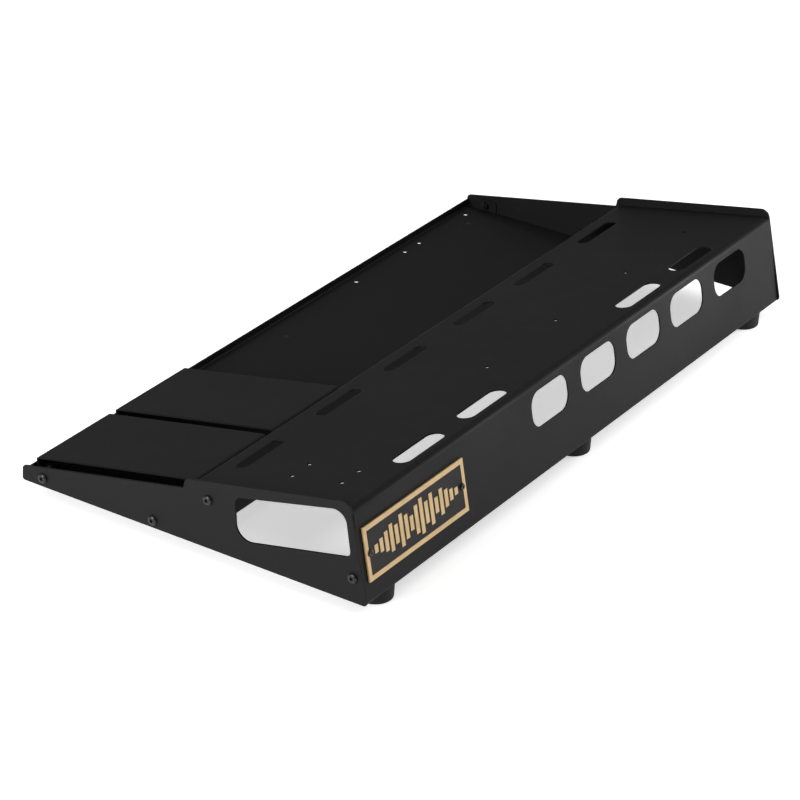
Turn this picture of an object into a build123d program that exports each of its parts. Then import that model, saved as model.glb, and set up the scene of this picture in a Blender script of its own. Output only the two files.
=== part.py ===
from build123d import *
from math import cos, radians, sin
import os

os.makedirs("parts", exist_ok=True)

# Overall sizes over the rounded corners. X runs along the width, Y towards the back, Z up, floor at Z 0.
width = 762.0
depth = 381.2
deck_tilt = radians(11.45)
rear_tilt = radians(11.2)
panel_lift = 15.0

sheet = 1.5
panel_sheet = 2.0
flat_bottom = 1.7
flange_bottom = 0.0
body_half = width / 2 - panel_sheet

deck_top = 16.2
step_front = 193.3
rear_outer = 373.0
flange_front = 335.0
bend_inner = 1.5
flange_bend = 0.5
rear_bend = 6.5


# A point seen from the side, from distances behind the front edge and above the panels' bottom edge.
def side(back, up):
    return (back - depth / 2, up + panel_lift)


# The same point from the distance along the sloping deck and the height square to it.
def sloped(along, height):
    back = along * cos(deck_tilt) - height * sin(deck_tilt)
    up = along * sin(deck_tilt) + height * cos(deck_tilt)
    return side(back, up)


# Where a line square to the deck, at a distance along it, comes down to a height above the floor.
def foot_of(along, up):
    height = (up - along * sin(deck_tilt)) / cos(deck_tilt)
    return sloped(along, height)


# The rear face starts under the deck's back corner and leans a little less than square to the deck. This is a
# point on it, from the height square to the deck at that corner and the distance out of the face.
rear_corner = sloped(rear_outer, deck_top)


def on_rear(height, out):
    back = rear_corner[0] - (height - deck_top) * sin(rear_tilt) + out * cos(rear_tilt)
    up = rear_corner[1] + (height - deck_top) * cos(rear_tilt) + out * sin(rear_tilt)
    return (back, up)


# Where the rear face, or a face inside it, comes down to a height above the panels' bottom edge.
def rear_foot(out, up):
    height = deck_top + (up + panel_lift - rear_corner[1] - out * sin(rear_tilt)) / cos(rear_tilt)
    return on_rear(height, out)


deck_x = (1, 0, 0)
deck_up = (0, -sin(deck_tilt), cos(deck_tilt))
deck_plane = Plane(origin=(0, *sloped(0, deck_top)), x_dir=deck_x, z_dir=deck_up)
rear_out = (0, cos(rear_tilt), sin(rear_tilt))
rear_plane = Plane(origin=(0, *on_rear(0, 0)), x_dir=(-1, 0, 0), z_dir=rear_out)
tray_plane = Plane(origin=(0, *side(0, flat_bottom + sheet)), x_dir=deck_x, z_dir=(0, 0, 1))

# Fasteners: screws through the side panels, given as back and up from the panel's lower front corner.
side_screws = [(24.3, 9.2), (149.9, 8.0), (210.5, 49.1), (366.0, 24.2)]
side_hole = 2.6
side_thread = 2.5
button_radius = 4.9
button_height = 2.8
nut_flat = 8.0
nut_height = 4.0

# Riser bridges on the tray and their screw pattern.
riser_width = 107.0
riser_front = 6.4
riser_back = 192.2
riser_centres = {"outer": 311.0, "inner": 192.5}
riser_hole_half = 45.5
riser_hole_front = 12.8
riser_hole_back = 180.0
small_hole = 2.5

# Feet and the holes their screws pass.
foot_x = [-338.4, 0.0, 338.4]
foot_back = {"front": 28.0, "rear": 361.0}
foot_radius = 18.0

# Badge on the rear face.
badge_centre = 292.4
badge_width = 159.6
badge_height = 51.6
badge_mid = -30.2
badge_border = 4.6
badge_sheet = 1.6
badge_screw_reach = 73.6
badge_gap = 0.4
badge_head_radius = 3.3
badge_head_height = 2.0


# Folded main sheet.
lip_outer = 0.6
lip_top = 10.5
rear_lean = deck_tilt - rear_tilt
under = [
    side(lip_outer, lip_top),
    side(lip_outer, flat_bottom),
    foot_of(step_front + sheet, flat_bottom),
    sloped(step_front + sheet, deck_top - sheet),
    sloped(rear_outer - sheet * (1 + sin(rear_lean)) / cos(rear_lean), deck_top - sheet),
    rear_foot(-sheet, flange_bottom + sheet),
    side(flange_front, flange_bottom + sheet),
]
over = [
    side(flange_front, flange_bottom),
    rear_foot(0, flange_bottom),
    sloped(rear_outer, deck_top),
    sloped(step_front, deck_top),
    foot_of(step_front, flat_bottom + sheet),
    side(lip_outer + sheet, flat_bottom + sheet),
    side(lip_outer + sheet, lip_top),
]
bends = [
    (under[1], bend_inner + sheet),
    (over[5], bend_inner),
    (under[2], bend_inner + sheet),
    (over[4], bend_inner),
    (under[3], bend_inner),
    (over[3], bend_inner + sheet),
    (under[4], rear_bend - sheet),
    (over[2], rear_bend),
    (under[5], flange_bend),
    (over[1], flange_bend + sheet),
]

front_slot_x = [-298.0, -173.0, -61.0, 61.0, 173.0, 298.0]
front_slot_along = 215.0
front_slot_size = (66.0, 13.0)
rear_slot_x = [-250.0, -145.0, 140.0, 245.0]
rear_slot_along = 352.5
rear_slot_size = (70.0, 18.5)
row_x = [-319.0, -199.0, -65.0, 59.0]
row_along = 307.0
cluster = [(305.0, 275.0), (331.7, 275.0), (305.0, 328.8), (331.7, 328.8)]
rear_window_x = [58.8, -29.2, -115.2, -200.7, -288.7]
rear_window_mid = -11.4
rear_window_size = (64.0, 35.3)
rear_window_corner = 14.0

# Tabs folded square to the sheet at each end, each with one screw through it.
tab_corner = 4.0
tabs = [
    [side(8, flat_bottom), side(38, flat_bottom), side(38, 15.4), side(8, 15.4)],
    [side(135, flat_bottom), side(165, flat_bottom), side(165, 14.6), side(135, 14.6)],
    [sloped(201, deck_top), sloped(201, -3), sloped(231, -3), sloped(231, deck_top)],
    [on_rear(-34, -0.4), sloped(355, -34), sloped(355, -61), on_rear(-61, -0.4)],
]
tab_corners = [
    [side(38, 15.4), side(8, 15.4)],
    [side(165, 14.6), side(135, 14.6)],
    [sloped(201, -3), sloped(231, -3)],
    [sloped(355, -34), sloped(355, -61)],
]

with BuildPart() as main_deck:
    with BuildSketch(Plane.YZ.offset(-body_half)) as fold:
        with BuildLine():
            Polyline(*under, *over, close=True)
        make_face()
        for corner, radius in bends:
            fillet(fold.vertices().sort_by_distance(Vector(*corner))[0], radius)
    extrude(amount=2 * body_half)
    for face_x in (-body_half, body_half - sheet):
        for outline, rounded in zip(tabs, tab_corners):
            with BuildSketch(Plane.YZ.offset(face_x)) as tab:
                with BuildLine():
                    Polyline(*outline, close=True)
                make_face()
                for corner in rounded:
                    fillet(tab.vertices().sort_by_distance(Vector(*corner))[0], tab_corner)
            extrude(amount=sheet)
    with BuildSketch(Plane.YZ.offset(-body_half)):
        with Locations(*[side(*spot) for spot in side_screws]):
            Circle(side_hole)
    extrude(amount=2 * body_half, mode=Mode.SUBTRACT)
    with BuildSketch(deck_plane):
        with Locations(*[(x, front_slot_along) for x in front_slot_x]):
            SlotOverall(*front_slot_size)
        with Locations(*[(x, rear_slot_along) for x in rear_slot_x]):
            SlotOverall(*rear_slot_size)
        with Locations(*[(x, row_along) for x in row_x], *cluster):
            Circle(small_hole)
    extrude(amount=-2 * sheet, mode=Mode.SUBTRACT)
    with BuildSketch(rear_plane):
        with Locations(*[(-x, rear_window_mid) for x in rear_window_x]):
            RectangleRounded(*rear_window_size, rear_window_corner)
        with Locations(*[(-badge_centre + s * badge_screw_reach, badge_mid) for s in (-1, 1)]):
            Circle(1.6)
    extrude(amount=-3 * sheet, mode=Mode.SUBTRACT)
    with BuildSketch(tray_plane):
        for hand in (-1, 1):
            for centre in riser_centres.values():
                with Locations((hand * centre, (riser_hole_front + riser_hole_back) / 2)):
                    with GridLocations(2 * riser_hole_half, riser_hole_back - riser_hole_front, 2, 2):
                        Circle(small_hole)
        for back in foot_back.values():
            with Locations(*[(x, back) for x in foot_x]):
                Circle(small_hole)
    extrude(amount=-3 * sheet, mode=Mode.SUBTRACT)
main_deck.part.label = "main_deck"
export_step(main_deck.part, "parts/main_deck.step")


# Side panels.
panel_edge = [
    (side(0, 0), 3.0),
    (side(0.4, 15.0), 4.0),
    (side(183.2, 52.1), 2.0),
    (side(185.0, 62.3), 6.0),
    (side(359.9, 97.4), 9.0),
    (side(382.2, -0.4), 4.0),
]
window_edge = [
    (side(239.4, 61.3), 6.0),
    (side(355.6, 88.2), 13.0),
    (side(363.1, 43.7), 6.0),
    (side(242.0, 18.2), 15.0),
]
hands = {"right": width / 2 - panel_sheet, "left": -width / 2}

# Only the right panel has a window; the left one is closed.

for hand, inner in hands.items():
    with BuildPart() as side_panel:
        with BuildSketch(Plane.YZ.offset(inner)) as plate:
            with BuildLine():
                Polyline(*[corner for corner, radius in panel_edge], close=True)
            make_face()
            for corner, radius in panel_edge:
                fillet(plate.vertices().sort_by_distance(Vector(*corner))[0], radius)
        extrude(amount=panel_sheet)
        if hand == "right":
            with BuildSketch(Plane.YZ.offset(inner)) as window:
                with BuildLine():
                    Polyline(*[corner for corner, radius in window_edge], close=True)
                make_face()
                for corner, radius in window_edge:
                    fillet(window.vertices().sort_by_distance(Vector(*corner))[0], radius)
            extrude(amount=panel_sheet, mode=Mode.SUBTRACT)
        with BuildSketch(Plane.YZ.offset(inner)):
            with Locations(*[side(*spot) for spot in side_screws]):
                Circle(side_hole)
        extrude(amount=panel_sheet, mode=Mode.SUBTRACT)
        rims = side_panel.faces().filter_by(Axis.X).sort_by(Axis.X)
        face = rims[-1] if hand == "right" else rims[0]
        chamfer(face.outer_wire().edges(), 0.3)
    side_panel.part.label = "side_panel_" + hand
    export_step(side_panel.part, "parts/side_panel_" + hand + ".step")


# Side panel screws and nuts.
tab_inner = body_half - sheet
for hand, sign in {"right": 1, "left": -1}.items():
    head_plane = Plane(origin=(sign * width / 2, 0, 0), x_dir=(0, 1, 0), z_dir=(1, 0, 0))
    reach = sign * (panel_sheet + sheet + nut_height + 1.5)
    spots = [side(*spot) for spot in side_screws]
    with BuildPart() as panel_screws:
        with BuildSketch(head_plane):
            with Locations(*spots):
                Circle(button_radius)
        extrude(amount=sign * button_height)
        crowns = panel_screws.faces().filter_by(Axis.X).sort_by(Axis.X)
        tops = crowns[-4:] if sign > 0 else crowns[:4]
        fillet(tops.edges(), 2.1)
        with BuildSketch(head_plane.offset(sign * button_height)):
            with Locations(*spots):
                RegularPolygon(1.6, 6, major_radius=False)
        extrude(amount=-sign * 1.6, mode=Mode.SUBTRACT)
        with BuildSketch(head_plane):
            with Locations(*spots):
                Circle(side_thread)
        extrude(amount=-reach)
    panel_screws.part.label = "side_screws_" + hand
    export_step(panel_screws.part, "parts/side_screws_" + hand + ".step")
    nut_plane = Plane(origin=(sign * tab_inner, 0, 0), x_dir=(0, 1, 0), z_dir=(1, 0, 0))
    with BuildPart() as panel_nuts:
        with BuildSketch(nut_plane):
            with Locations(*spots):
                RegularPolygon(nut_flat / 2, 6, major_radius=False, rotation=30)
                Circle(side_thread, mode=Mode.SUBTRACT)
        extrude(amount=-sign * nut_height)
    panel_nuts.part.label = "side_nuts_" + hand
    export_step(panel_nuts.part, "parts/side_nuts_" + hand + ".step")


# Riser bridges.
tray_top = flat_bottom + sheet
riser_foot = 17.0
riser_foot_front = foot_of(riser_front, tray_top)[0] + depth / 2 + riser_foot
riser_foot_back = foot_of(riser_back, tray_top)[0] + depth / 2 - riser_foot
riser_out = [
    side(riser_foot_front, tray_top),
    foot_of(riser_front, tray_top),
    sloped(riser_front, deck_top),
    sloped(riser_back, deck_top),
    foot_of(riser_back, tray_top),
    side(riser_foot_back, tray_top),
]
riser_in = [
    side(riser_foot_back, tray_top + sheet),
    foot_of(riser_back - sheet, tray_top + sheet),
    sloped(riser_back - sheet, deck_top - sheet),
    sloped(riser_front + sheet, deck_top - sheet),
    foot_of(riser_front + sheet, tray_top + sheet),
    side(riser_foot_front, tray_top + sheet),
]
riser_bends = [(corner, bend_inner + sheet) for corner in riser_out[1:5]]
riser_bends += [(corner, bend_inner) for corner in riser_in[1:5]]
riser_nut_height = 3.2

for name, centre in riser_centres.items():
    pattern_mid = (centre, (riser_hole_front + riser_hole_back) / 2)
    with BuildPart() as riser:
        with BuildSketch(Plane.YZ.offset(centre - riser_width / 2)) as bridge:
            with BuildLine():
                Polyline(*riser_out, *riser_in, close=True)
            make_face()
            for corner, radius in riser_bends:
                fillet(bridge.vertices().sort_by_distance(Vector(*corner))[0], radius)
        extrude(amount=riser_width)
        with BuildSketch(tray_plane):
            with Locations(pattern_mid):
                with GridLocations(2 * riser_hole_half, riser_hole_back - riser_hole_front, 2, 2):
                    Circle(2.2)
        extrude(amount=2 * sheet, mode=Mode.SUBTRACT)
    riser.part.label = "riser_" + name
    export_step(riser.part, "parts/riser_" + name + ".step")
    with BuildPart() as riser_screws:
        with BuildSketch(tray_plane.offset(-sheet)):
            with Locations(pattern_mid):
                with GridLocations(2 * riser_hole_half, riser_hole_back - riser_hole_front, 2, 2):
                    Circle(3.8)
        extrude(amount=-2.2)
        heads = riser_screws.faces().filter_by(Axis.Z).sort_by(Axis.Z)[:4]
        fillet(heads.edges(), 1.5)
        with BuildSketch(tray_plane.offset(-sheet - 2.2)):
            with Locations(pattern_mid):
                with GridLocations(2 * riser_hole_half, riser_hole_back - riser_hole_front, 2, 2):
                    RegularPolygon(1.25, 6, major_radius=False)
        extrude(amount=1.3, mode=Mode.SUBTRACT)
        with BuildSketch(tray_plane.offset(-sheet)):
            with Locations(pattern_mid):
                with GridLocations(2 * riser_hole_half, riser_hole_back - riser_hole_front, 2, 2):
                    Circle(2.0)
        extrude(amount=2 * sheet + riser_nut_height + 1.0)
    riser_screws.part.label = "riser_screws_" + name
    export_step(riser_screws.part, "parts/riser_screws_" + name + ".step")
    with BuildPart() as riser_nuts:
        with BuildSketch(tray_plane.offset(sheet)):
            with Locations(pattern_mid):
                with GridLocations(2 * riser_hole_half, riser_hole_back - riser_hole_front, 2, 2):
                    RegularPolygon(3.5, 6, major_radius=False)
                    Circle(2.0, mode=Mode.SUBTRACT)
        extrude(amount=riser_nut_height)
    riser_nuts.part.label = "riser_nuts_" + name
    export_step(riser_nuts.part, "parts/riser_nuts_" + name + ".step")


# Badge.
badge_plane = rear_plane.offset(badge_gap)
badge_spots = [(-badge_centre + s * badge_screw_reach, badge_mid) for s in (-1, 1)]
with BuildPart() as badge_plate:
    with BuildSketch(rear_plane):
        with Locations(*badge_spots):
            Circle(4.0)
    extrude(amount=badge_gap)
    with BuildSketch(badge_plane):
        with Locations((-badge_centre, badge_mid)):
            Rectangle(badge_width, badge_height)
    extrude(amount=badge_sheet)
    with BuildSketch(badge_plane.offset(badge_sheet)):
        with Locations((-badge_centre, badge_mid)):
            Rectangle(badge_width - 2 * badge_border, badge_height - 2 * badge_border)
        with Locations(*badge_spots):
            Circle(badge_head_radius + 0.3)
    extrude(amount=-0.3, mode=Mode.SUBTRACT)
    with BuildSketch(rear_plane):
        with Locations(*badge_spots):
            Circle(1.6)
    extrude(amount=badge_gap + badge_sheet, mode=Mode.SUBTRACT)
badge_plate.part.label = "badge_plate"
export_step(badge_plate.part, "parts/badge_plate.step")

badge_face = badge_plane.offset(badge_sheet - 0.3)
with BuildPart() as badge_screws:
    with BuildSketch(badge_face):
        with Locations(*badge_spots):
            Circle(badge_head_radius)
    extrude(amount=badge_head_height)
    outward = Axis(origin=(0, 0, 0), direction=rear_out)
    crowns = badge_screws.faces().filter_by(GeomType.PLANE).sort_by(outward)
    fillet(crowns[-2:].edges(), 1.4)
    with BuildSketch(badge_face.offset(badge_head_height)):
        with Locations(*badge_spots):
            RegularPolygon(0.9, 6, major_radius=False)
    extrude(amount=-0.9, mode=Mode.SUBTRACT)
    with BuildSketch(badge_face):
        with Locations(*badge_spots):
            Circle(1.5)
    extrude(amount=-7.0)
badge_screws.part.label = "badge_screws"
export_step(badge_screws.part, "parts/badge_screws.step")

with BuildPart() as badge_nuts:
    with BuildSketch(rear_plane.offset(-sheet)):
        with Locations(*badge_spots):
            RegularPolygon(2.75, 6, major_radius=False)
            Circle(1.5, mode=Mode.SUBTRACT)
    extrude(amount=-2.4)
badge_nuts.part.label = "badge_nuts"
export_step(badge_nuts.part, "parts/badge_nuts.step")


# Feet.
foot_top = {"front": panel_lift + flat_bottom, "rear": panel_lift + flange_bottom}
washer_level = 7.0
row_side = {"left": foot_x[0], "middle": foot_x[1], "right": foot_x[2]}
for row, back in foot_back.items():
    for hand, x in row_side.items():
        with BuildPart() as foot:
            with BuildSketch(Plane.XY.offset(foot_top[row])):
                with Locations((x, back - depth / 2)):
                    Circle(foot_radius)
            extrude(amount=-foot_top[row], taper=2.0)
            sole = foot.faces().sort_by(Axis.Z)[0]
            fillet(sole.edges(), 1.5)
            with BuildSketch(Plane.XY):
                with Locations((x, back - depth / 2)):
                    Circle(7.0)
            extrude(amount=washer_level, mode=Mode.SUBTRACT)
            with BuildSketch(Plane.XY):
                with Locations((x, back - depth / 2)):
                    Circle(2.6)
            extrude(amount=foot_top[row], mode=Mode.SUBTRACT)
        foot.part.label = "foot_" + row + "_" + hand
        export_step(foot.part, "parts/foot_" + row + "_" + hand + ".step")

foot_spots = [(x, back - depth / 2) for back in foot_back.values() for x in foot_x]
with BuildPart() as foot_washers:
    with BuildSketch(Plane.XY.offset(washer_level)):
        with Locations(*foot_spots):
            Circle(6.5)
            Circle(2.6, mode=Mode.SUBTRACT)
    extrude(amount=-1.2)
foot_washers.part.label = "foot_washers"
export_step(foot_washers.part, "parts/foot_washers.step")

with BuildPart() as foot_screws:
    with BuildSketch(Plane.XY.offset(washer_level - 1.2)):
        with Locations(*foot_spots):
            Circle(4.6)
    extrude(amount=-3.0)
    heads = foot_screws.faces().filter_by(Axis.Z).sort_by(Axis.Z)[:6]
    fillet(heads.edges(), 1.2)
    with BuildSketch(Plane.XY.offset(washer_level - 4.2)):
        with Locations(*foot_spots):
            RegularPolygon(1.5, 6, major_radius=False)
    extrude(amount=1.8, mode=Mode.SUBTRACT)
    for row, back in foot_back.items():
        with BuildSketch(Plane.XY.offset(washer_level - 1.2)):
            with Locations(*[(x, back - depth / 2) for x in foot_x]):
                Circle(2.5)
        extrude(amount=foot_top[row] + sheet - washer_level + 1.2)
foot_screws.part.label = "foot_screws"
export_step(foot_screws.part, "parts/foot_screws.step")
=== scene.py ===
import bpy
import math
from mathutils import Matrix, Vector


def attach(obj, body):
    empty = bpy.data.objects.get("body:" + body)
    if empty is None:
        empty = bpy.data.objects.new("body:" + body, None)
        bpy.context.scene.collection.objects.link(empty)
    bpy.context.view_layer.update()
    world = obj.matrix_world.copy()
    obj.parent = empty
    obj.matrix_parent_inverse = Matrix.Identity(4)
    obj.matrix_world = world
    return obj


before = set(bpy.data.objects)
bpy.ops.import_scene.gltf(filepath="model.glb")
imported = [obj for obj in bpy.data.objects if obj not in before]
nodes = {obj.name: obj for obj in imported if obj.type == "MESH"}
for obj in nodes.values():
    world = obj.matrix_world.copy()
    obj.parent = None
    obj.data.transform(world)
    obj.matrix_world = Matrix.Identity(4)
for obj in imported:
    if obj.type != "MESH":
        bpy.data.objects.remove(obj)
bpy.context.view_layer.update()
print("frame loaded:", len(nodes), "nodes")


def deselectAll():
    for o in bpy.context.selected_objects:
        o.select_set(False)


deselectAll()

# The camera looks down on the right rear corner through a long lens.
view = {"place": (2.5294, 1.58227, 1.55758), "turn": (62.3708, -1.9295, 123.4528), "lens": 155.11,
        "sensor": 36, "near": 0.05, "far": 60}
cameraData = bpy.data.cameras.new("boardCamera")
cameraData.lens = view["lens"]
cameraData.sensor_width = view["sensor"]
cameraData.clip_start = view["near"]
cameraData.clip_end = view["far"]
camera = bpy.data.objects.new("boardCamera", cameraData)
camera.location = view["place"]
camera.rotation_euler = [math.radians(v) for v in view["turn"]]
bpy.context.scene.collection.objects.link(camera)
bpy.context.scene.camera = camera
print("camera placed")


def newMaterial(name):
    mat = bpy.data.materials.new(name)
    mat.use_nodes = True
    tree = mat.node_tree
    return mat, tree, tree.nodes["Principled BSDF"], tree.nodes.new("ShaderNodeTexCoord")


# Noise in the piece's own coordinates, stretched along one of them where a tool left marks.
def noiseNode(tree, coords, grain):
    noise = tree.nodes.new("ShaderNodeTexNoise")
    noise.inputs["Scale"].default_value = grain["scale"]
    noise.inputs["Detail"].default_value = grain["detail"]
    noise.inputs["Roughness"].default_value = grain.get("mix", 0.5)
    start = coords.outputs["Object"]
    if "stretch" in grain:
        mapping = tree.nodes.new("ShaderNodeMapping")
        mapping.inputs["Scale"].default_value = grain["stretch"]
        tree.links.new(start, mapping.inputs["Vector"])
        start = mapping.outputs["Vector"]
    tree.links.new(start, noise.inputs["Vector"])
    return noise


# A two-step ramp from one colour to another, into a socket of the shader.
def rampInto(tree, noise, socket, stops, colours):
    ramp = tree.nodes.new("ShaderNodeValToRGB")
    for element, place, colour in zip(ramp.color_ramp.elements, stops, colours):
        element.position = place
        element.color = (*colour, 1)
    tree.links.new(noise.outputs["Fac"], ramp.inputs["Fac"])
    tree.links.new(ramp.outputs["Color"], socket)


def makeFinish(name, look):
    mat, tree, shader, coords = newMaterial(name)
    cloud = noiseNode(tree, coords, look["cloud"])
    rampInto(tree, cloud, shader.inputs["Base Color"], look.get("toneStops", (0.3, 0.7)), look["tones"])
    rampInto(tree, cloud, shader.inputs["Roughness"], (0.3, 0.7), [(v, v, v) for v in look["rough"]])
    shader.inputs["Metallic"].default_value = look.get("metal", 0.0)
    shader.inputs["Specular IOR Level"].default_value = look.get("specular", 0.5)
    under = None
    for skin in look["skins"]:
        bump = tree.nodes.new("ShaderNodeBump")
        bump.inputs["Strength"].default_value = skin["bump"]
        bump.inputs["Distance"].default_value = skin["depth"]
        tree.links.new(noiseNode(tree, coords, skin).outputs["Fac"], bump.inputs["Height"])
        if under:
            tree.links.new(under.outputs["Normal"], bump.inputs["Normal"])
        under = bump
    tree.links.new(under.outputs["Normal"], shader.inputs["Normal"])
    return mat


# Fine-texture satin black powder coat: small grains over a faint orange peel.
powder = {"tones": [(0.0070, 0.0070, 0.00714), (0.0086, 0.0086, 0.008772)], "rough": (0.44, 0.56),
          "specular": 0.107, "cloud": {"scale": 9.0, "detail": 5.0},
          "skins": [{"scale": 260.0, "detail": 2.0, "bump": 0.06, "depth": 0.0004},
                    {"scale": 1500.0, "detail": 2.0, "mix": 0.6, "bump": 0.16, "depth": 0.0002}]}
# Black oxide screws and panel nuts: dark metal, glossier than the coat.
oxide = {"tones": [(0.007, 0.007, 0.00714), (0.016, 0.016, 0.01632)], "toneStops": (0.35, 0.7),
         "rough": (0.18, 0.30), "metal": 0.3, "cloud": {"scale": 420.0, "detail": 4.0},
         "skins": [{"scale": 1800.0, "detail": 3.0, "bump": 0.12, "depth": 0.0001}]}
# Zinc plate on the hidden nuts and the foot washers, with turning marks.
zinc = {"tones": [(0.30, 0.30, 0.30), (0.46, 0.46, 0.48)], "rough": (0.24, 0.42), "metal": 1.0,
        "cloud": {"scale": 300.0, "detail": 4.0},
        "skins": [{"scale": 900.0, "detail": 2.0, "stretch": (1, 1, 6), "bump": 0.15, "depth": 0.0001}]}
# Moulded rubber with a dusty, uneven skin.
rubber = {"tones": [(0.008, 0.008, 0.00816), (0.016, 0.016, 0.01632)], "toneStops": (0.3, 0.75),
          "rough": (0.62, 0.8), "specular": 0.2, "cloud": {"scale": 70.0, "detail": 6.0, "mix": 0.6},
          "skins": [{"scale": 1200.0, "detail": 3.0, "bump": 0.25, "depth": 0.0002}]}
# Dark brown-grey badge field.
field = {"tones": [(0.0080, 0.0062, 0.0064), (0.0120, 0.0096, 0.0098)], "rough": (0.42, 0.56),
         "specular": 0.18, "cloud": {"scale": 60.0, "detail": 5.0},
         "skins": [{"scale": 1500.0, "detail": 2.0, "bump": 0.08, "depth": 0.0001}]}
# Pale gold enamel on the badge's border and bars.
gold = {"tones": [(0.58, 0.39, 0.17), (0.70, 0.48, 0.23)], "rough": (0.32, 0.46), "metal": 0.15,
        "cloud": {"scale": 90.0, "detail": 5.0},
        "skins": [{"scale": 1300.0, "detail": 2.0, "bump": 0.08, "depth": 0.0001}]}

finishes = {
    "powder": makeFinish("powderCoat", powder),
    "oxide": makeFinish("blackOxide", oxide),
    "zinc": makeFinish("zincPlate", zinc),
    "rubber": makeFinish("footRubber", rubber),
    "field": makeFinish("badgeField", field),
    "gold": makeFinish("badgeGold", gold),
}
finishOf = {
    "main_deck": "powder",
    "side_panel": "powder",
    "riser_outer": "powder",
    "riser_inner": "powder",
    "badge_plate": "gold",
    "badge_screws": "oxide",
    "badge_nuts": "zinc",
    "side_screws": "oxide",
    "side_nuts": "oxide",
    "riser_screws": "oxide",
    "riser_nuts": "zinc",
    "foot_screws": "oxide",
    "foot_washers": "zinc",
    "foot_front": "rubber",
    "foot_rear": "rubber",
}
for name, node in nodes.items():
    finish = next(kind for start, kind in finishOf.items() if name.startswith(start))
    node.data.materials.clear()
    node.data.materials.append(finishes[finish])
print("CAD nodes painted")


# The badge's field and generic bars stand on the recessed face of its plate. Bar heights are in millimetres.
badge = {"centre": 0.2924, "width": 0.1596, "height": 0.0516, "mid": -0.0302, "face": 0.0017,
         "border": 0.0046, "fieldThick": 0.00012, "barThick": 0.0003, "barWidth": 0.0052, "barGap": 0.0028,
         "barEdge": 0.0001,
         "bars": (8, 13, 19, 26, 18, 31, 23, 14, 27, 34, 21, 30, 15, 25, 17, 11, 7)}
board = {"deckTilt": math.radians(11.45), "rearTilt": math.radians(11.2), "halfDepth": 0.1906, "lift": 0.015,
         "cornerAlong": 0.373, "cornerHeight": 0.0162}
deckTilt, rearTilt = board["deckTilt"], board["rearTilt"]
along, height = board["cornerAlong"], board["cornerHeight"]
cornerY = along * math.cos(deckTilt) - height * math.sin(deckTilt) - board["halfDepth"]
cornerZ = along * math.sin(deckTilt) + height * math.cos(deckTilt) + board["lift"]


# A point on the rear face's own frame: along the width, up its slope, and out from it.
def rearPoint(x, up, out):
    rise = up - board["cornerHeight"]
    y = cornerY - rise * math.sin(rearTilt) + out * math.cos(rearTilt)
    z = cornerZ + rise * math.cos(rearTilt) + out * math.sin(rearTilt)
    return Vector((x, y, z))


rearTurn = Matrix(((-1, 0, 0), (0, -math.sin(rearTilt), math.cos(rearTilt)),
                   (0, math.cos(rearTilt), math.sin(rearTilt)))).transposed()


# A flat plate on the rear face, its own edges rounded when a rounding is given.
def plateAt(name, x, up, out, width, tall, thick, rounding, material):
    deselectAll()
    bpy.ops.mesh.primitive_cube_add(size=1)
    piece = bpy.context.object
    piece.name = name
    piece.scale = (width, tall, thick)
    bpy.ops.object.transform_apply(scale=True)
    if rounding:
        edge = piece.modifiers.new("round", "BEVEL")
        edge.width = rounding
        edge.segments = 3
        edge.limit_method = "ANGLE"
        bpy.ops.object.modifier_apply(modifier="round")
    place = Matrix.Translation(rearPoint(x, up, out + thick / 2)) @ rearTurn.to_4x4()
    piece.data.transform(place)
    piece.data.materials.append(material)
    return piece


fieldWidth = badge["width"] - 2 * badge["border"]
fieldHeight = badge["height"] - 2 * badge["border"]
fieldPiece = plateAt("badge_field", badge["centre"], badge["mid"], badge["face"], fieldWidth, fieldHeight,
                     badge["fieldThick"], 0, finishes["field"])
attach(fieldPiece, "root")
pitch = badge["barWidth"] + badge["barGap"]
first = badge["centre"] + pitch * (len(badge["bars"]) - 1) / 2
barFoot = badge["face"] + badge["fieldThick"]
bars = []
for i, tall in enumerate(badge["bars"]):
    bar = plateAt("bar", first - i * pitch, badge["mid"], barFoot, badge["barWidth"], tall / 1000,
                  badge["barThick"], badge["barEdge"], finishes["gold"])
    bars.append(bar)
deselectAll()
for bar in bars:
    bar.select_set(True)
bpy.context.view_layer.objects.active = bars[0]
bpy.ops.object.join()
bars[0].name = "badge_bars"
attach(bars[0], "root")
print("badge made")


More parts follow.
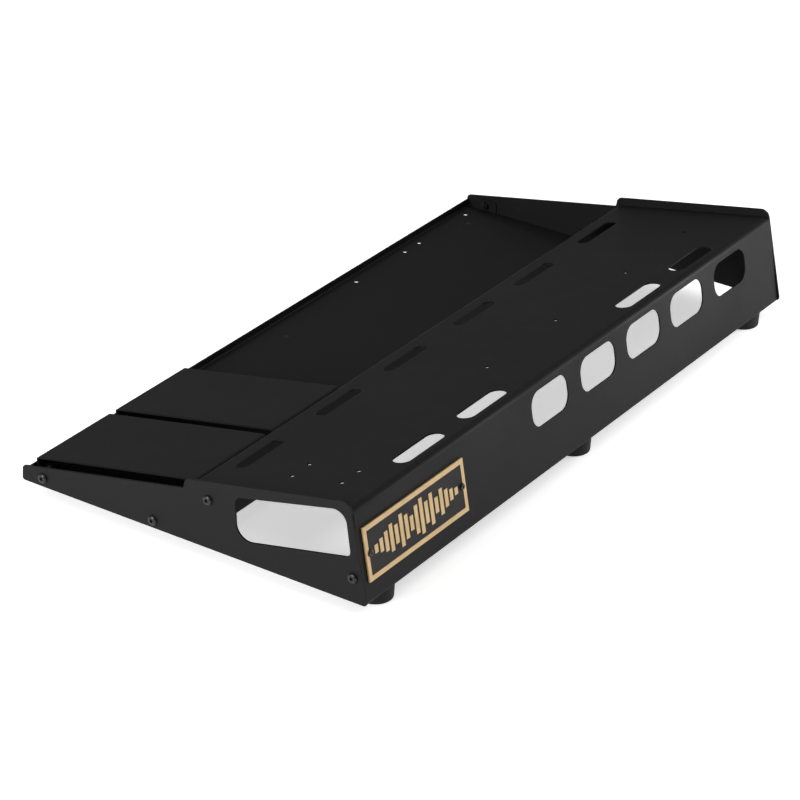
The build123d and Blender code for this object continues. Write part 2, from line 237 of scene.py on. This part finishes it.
# A pale floor that glows a little, so that it stays white around the board.
floorLook = {"size": 30.0, "tones": [(0.84, 0.84, 0.84), (0.86, 0.86, 0.86)], "rough": 0.9, "glow": 0.57,
             "dust": {"scale": 3.0, "detail": 4.0}}
deselectAll()
bpy.ops.mesh.primitive_plane_add(size=floorLook["size"])
floor = bpy.context.object
floor.name = "floor"
floorMat, floorTree, floorShader, floorCoords = newMaterial("paleFloor")
dust = noiseNode(floorTree, floorCoords, floorLook["dust"])
rampInto(floorTree, dust, floorShader.inputs["Base Color"], (0.3, 0.7), floorLook["tones"])
floorShader.inputs["Roughness"].default_value = floorLook["rough"]
floorShader.inputs["Specular IOR Level"].default_value = 0.0
floorShader.inputs["Emission Color"].default_value = (1, 1, 1, 1)
floorShader.inputs["Emission Strength"].default_value = floorLook["glow"]
floor.data.materials.append(floorMat)

# The world looks white and gives only a weak fill.
studio = {"seen": 1.0, "fill": 0.15}
world = bpy.data.worlds.new("studio")
world.use_nodes = True
worldTree = world.node_tree
fill = worldTree.nodes["Background"]
fill.inputs["Color"].default_value = (1, 1, 1, 1)
fill.inputs["Strength"].default_value = studio["fill"]
seen = worldTree.nodes.new("ShaderNodeBackground")
seen.inputs["Strength"].default_value = studio["seen"]
rays = worldTree.nodes.new("ShaderNodeLightPath")
either = worldTree.nodes.new("ShaderNodeMixShader")
worldTree.links.new(rays.outputs["Is Camera Ray"], either.inputs[0])
worldTree.links.new(fill.outputs[0], either.inputs[1])
worldTree.links.new(seen.outputs[0], either.inputs[2])
worldTree.links.new(either.outputs[0], worldTree.nodes["World Output"].inputs["Surface"])
bpy.context.scene.world = world
bpy.context.scene.view_settings.view_transform = "Standard"

# Area lamps: a large one overhead, and three that grade the panel and the rear face towards their far ends.
lamps = [
    {"name": "topLight", "place": (0.0, 0.0, 3.2), "aim": (0, 0, 0), "size": (7.0, 7.0), "power": 116},
    {"name": "frontCorner", "place": (1.0, -0.80, 0.24), "aim": (0.38, -0.16, 0.03), "size": (0.5, 0.35),
     "power": 1.0},
    {"name": "farBack", "place": (-0.8, 0.7, 0.28), "aim": (-0.38, 0.19, 0.06), "size": (0.4, 0.3),
     "power": 4.6},
    {"name": "sideKey", "place": (2.6, -0.6, 0.8), "aim": (0, 0, 0.05), "size": (0.8, 0.8), "power": 60},
]
for lamp in lamps:
    lightData = bpy.data.lights.new(lamp["name"], "AREA")
    lightData.shape = "RECTANGLE"
    lightData.size, lightData.size_y = lamp["size"]
    lightData.energy = lamp["power"]
    light = bpy.data.objects.new(lamp["name"], lightData)
    light.location = lamp["place"]
    light.rotation_euler = (Vector(lamp["aim"]) - Vector(lamp["place"])).to_track_quat("-Z", "Y").to_euler()
    bpy.context.scene.collection.objects.link(light)
print("floor and lights placed")
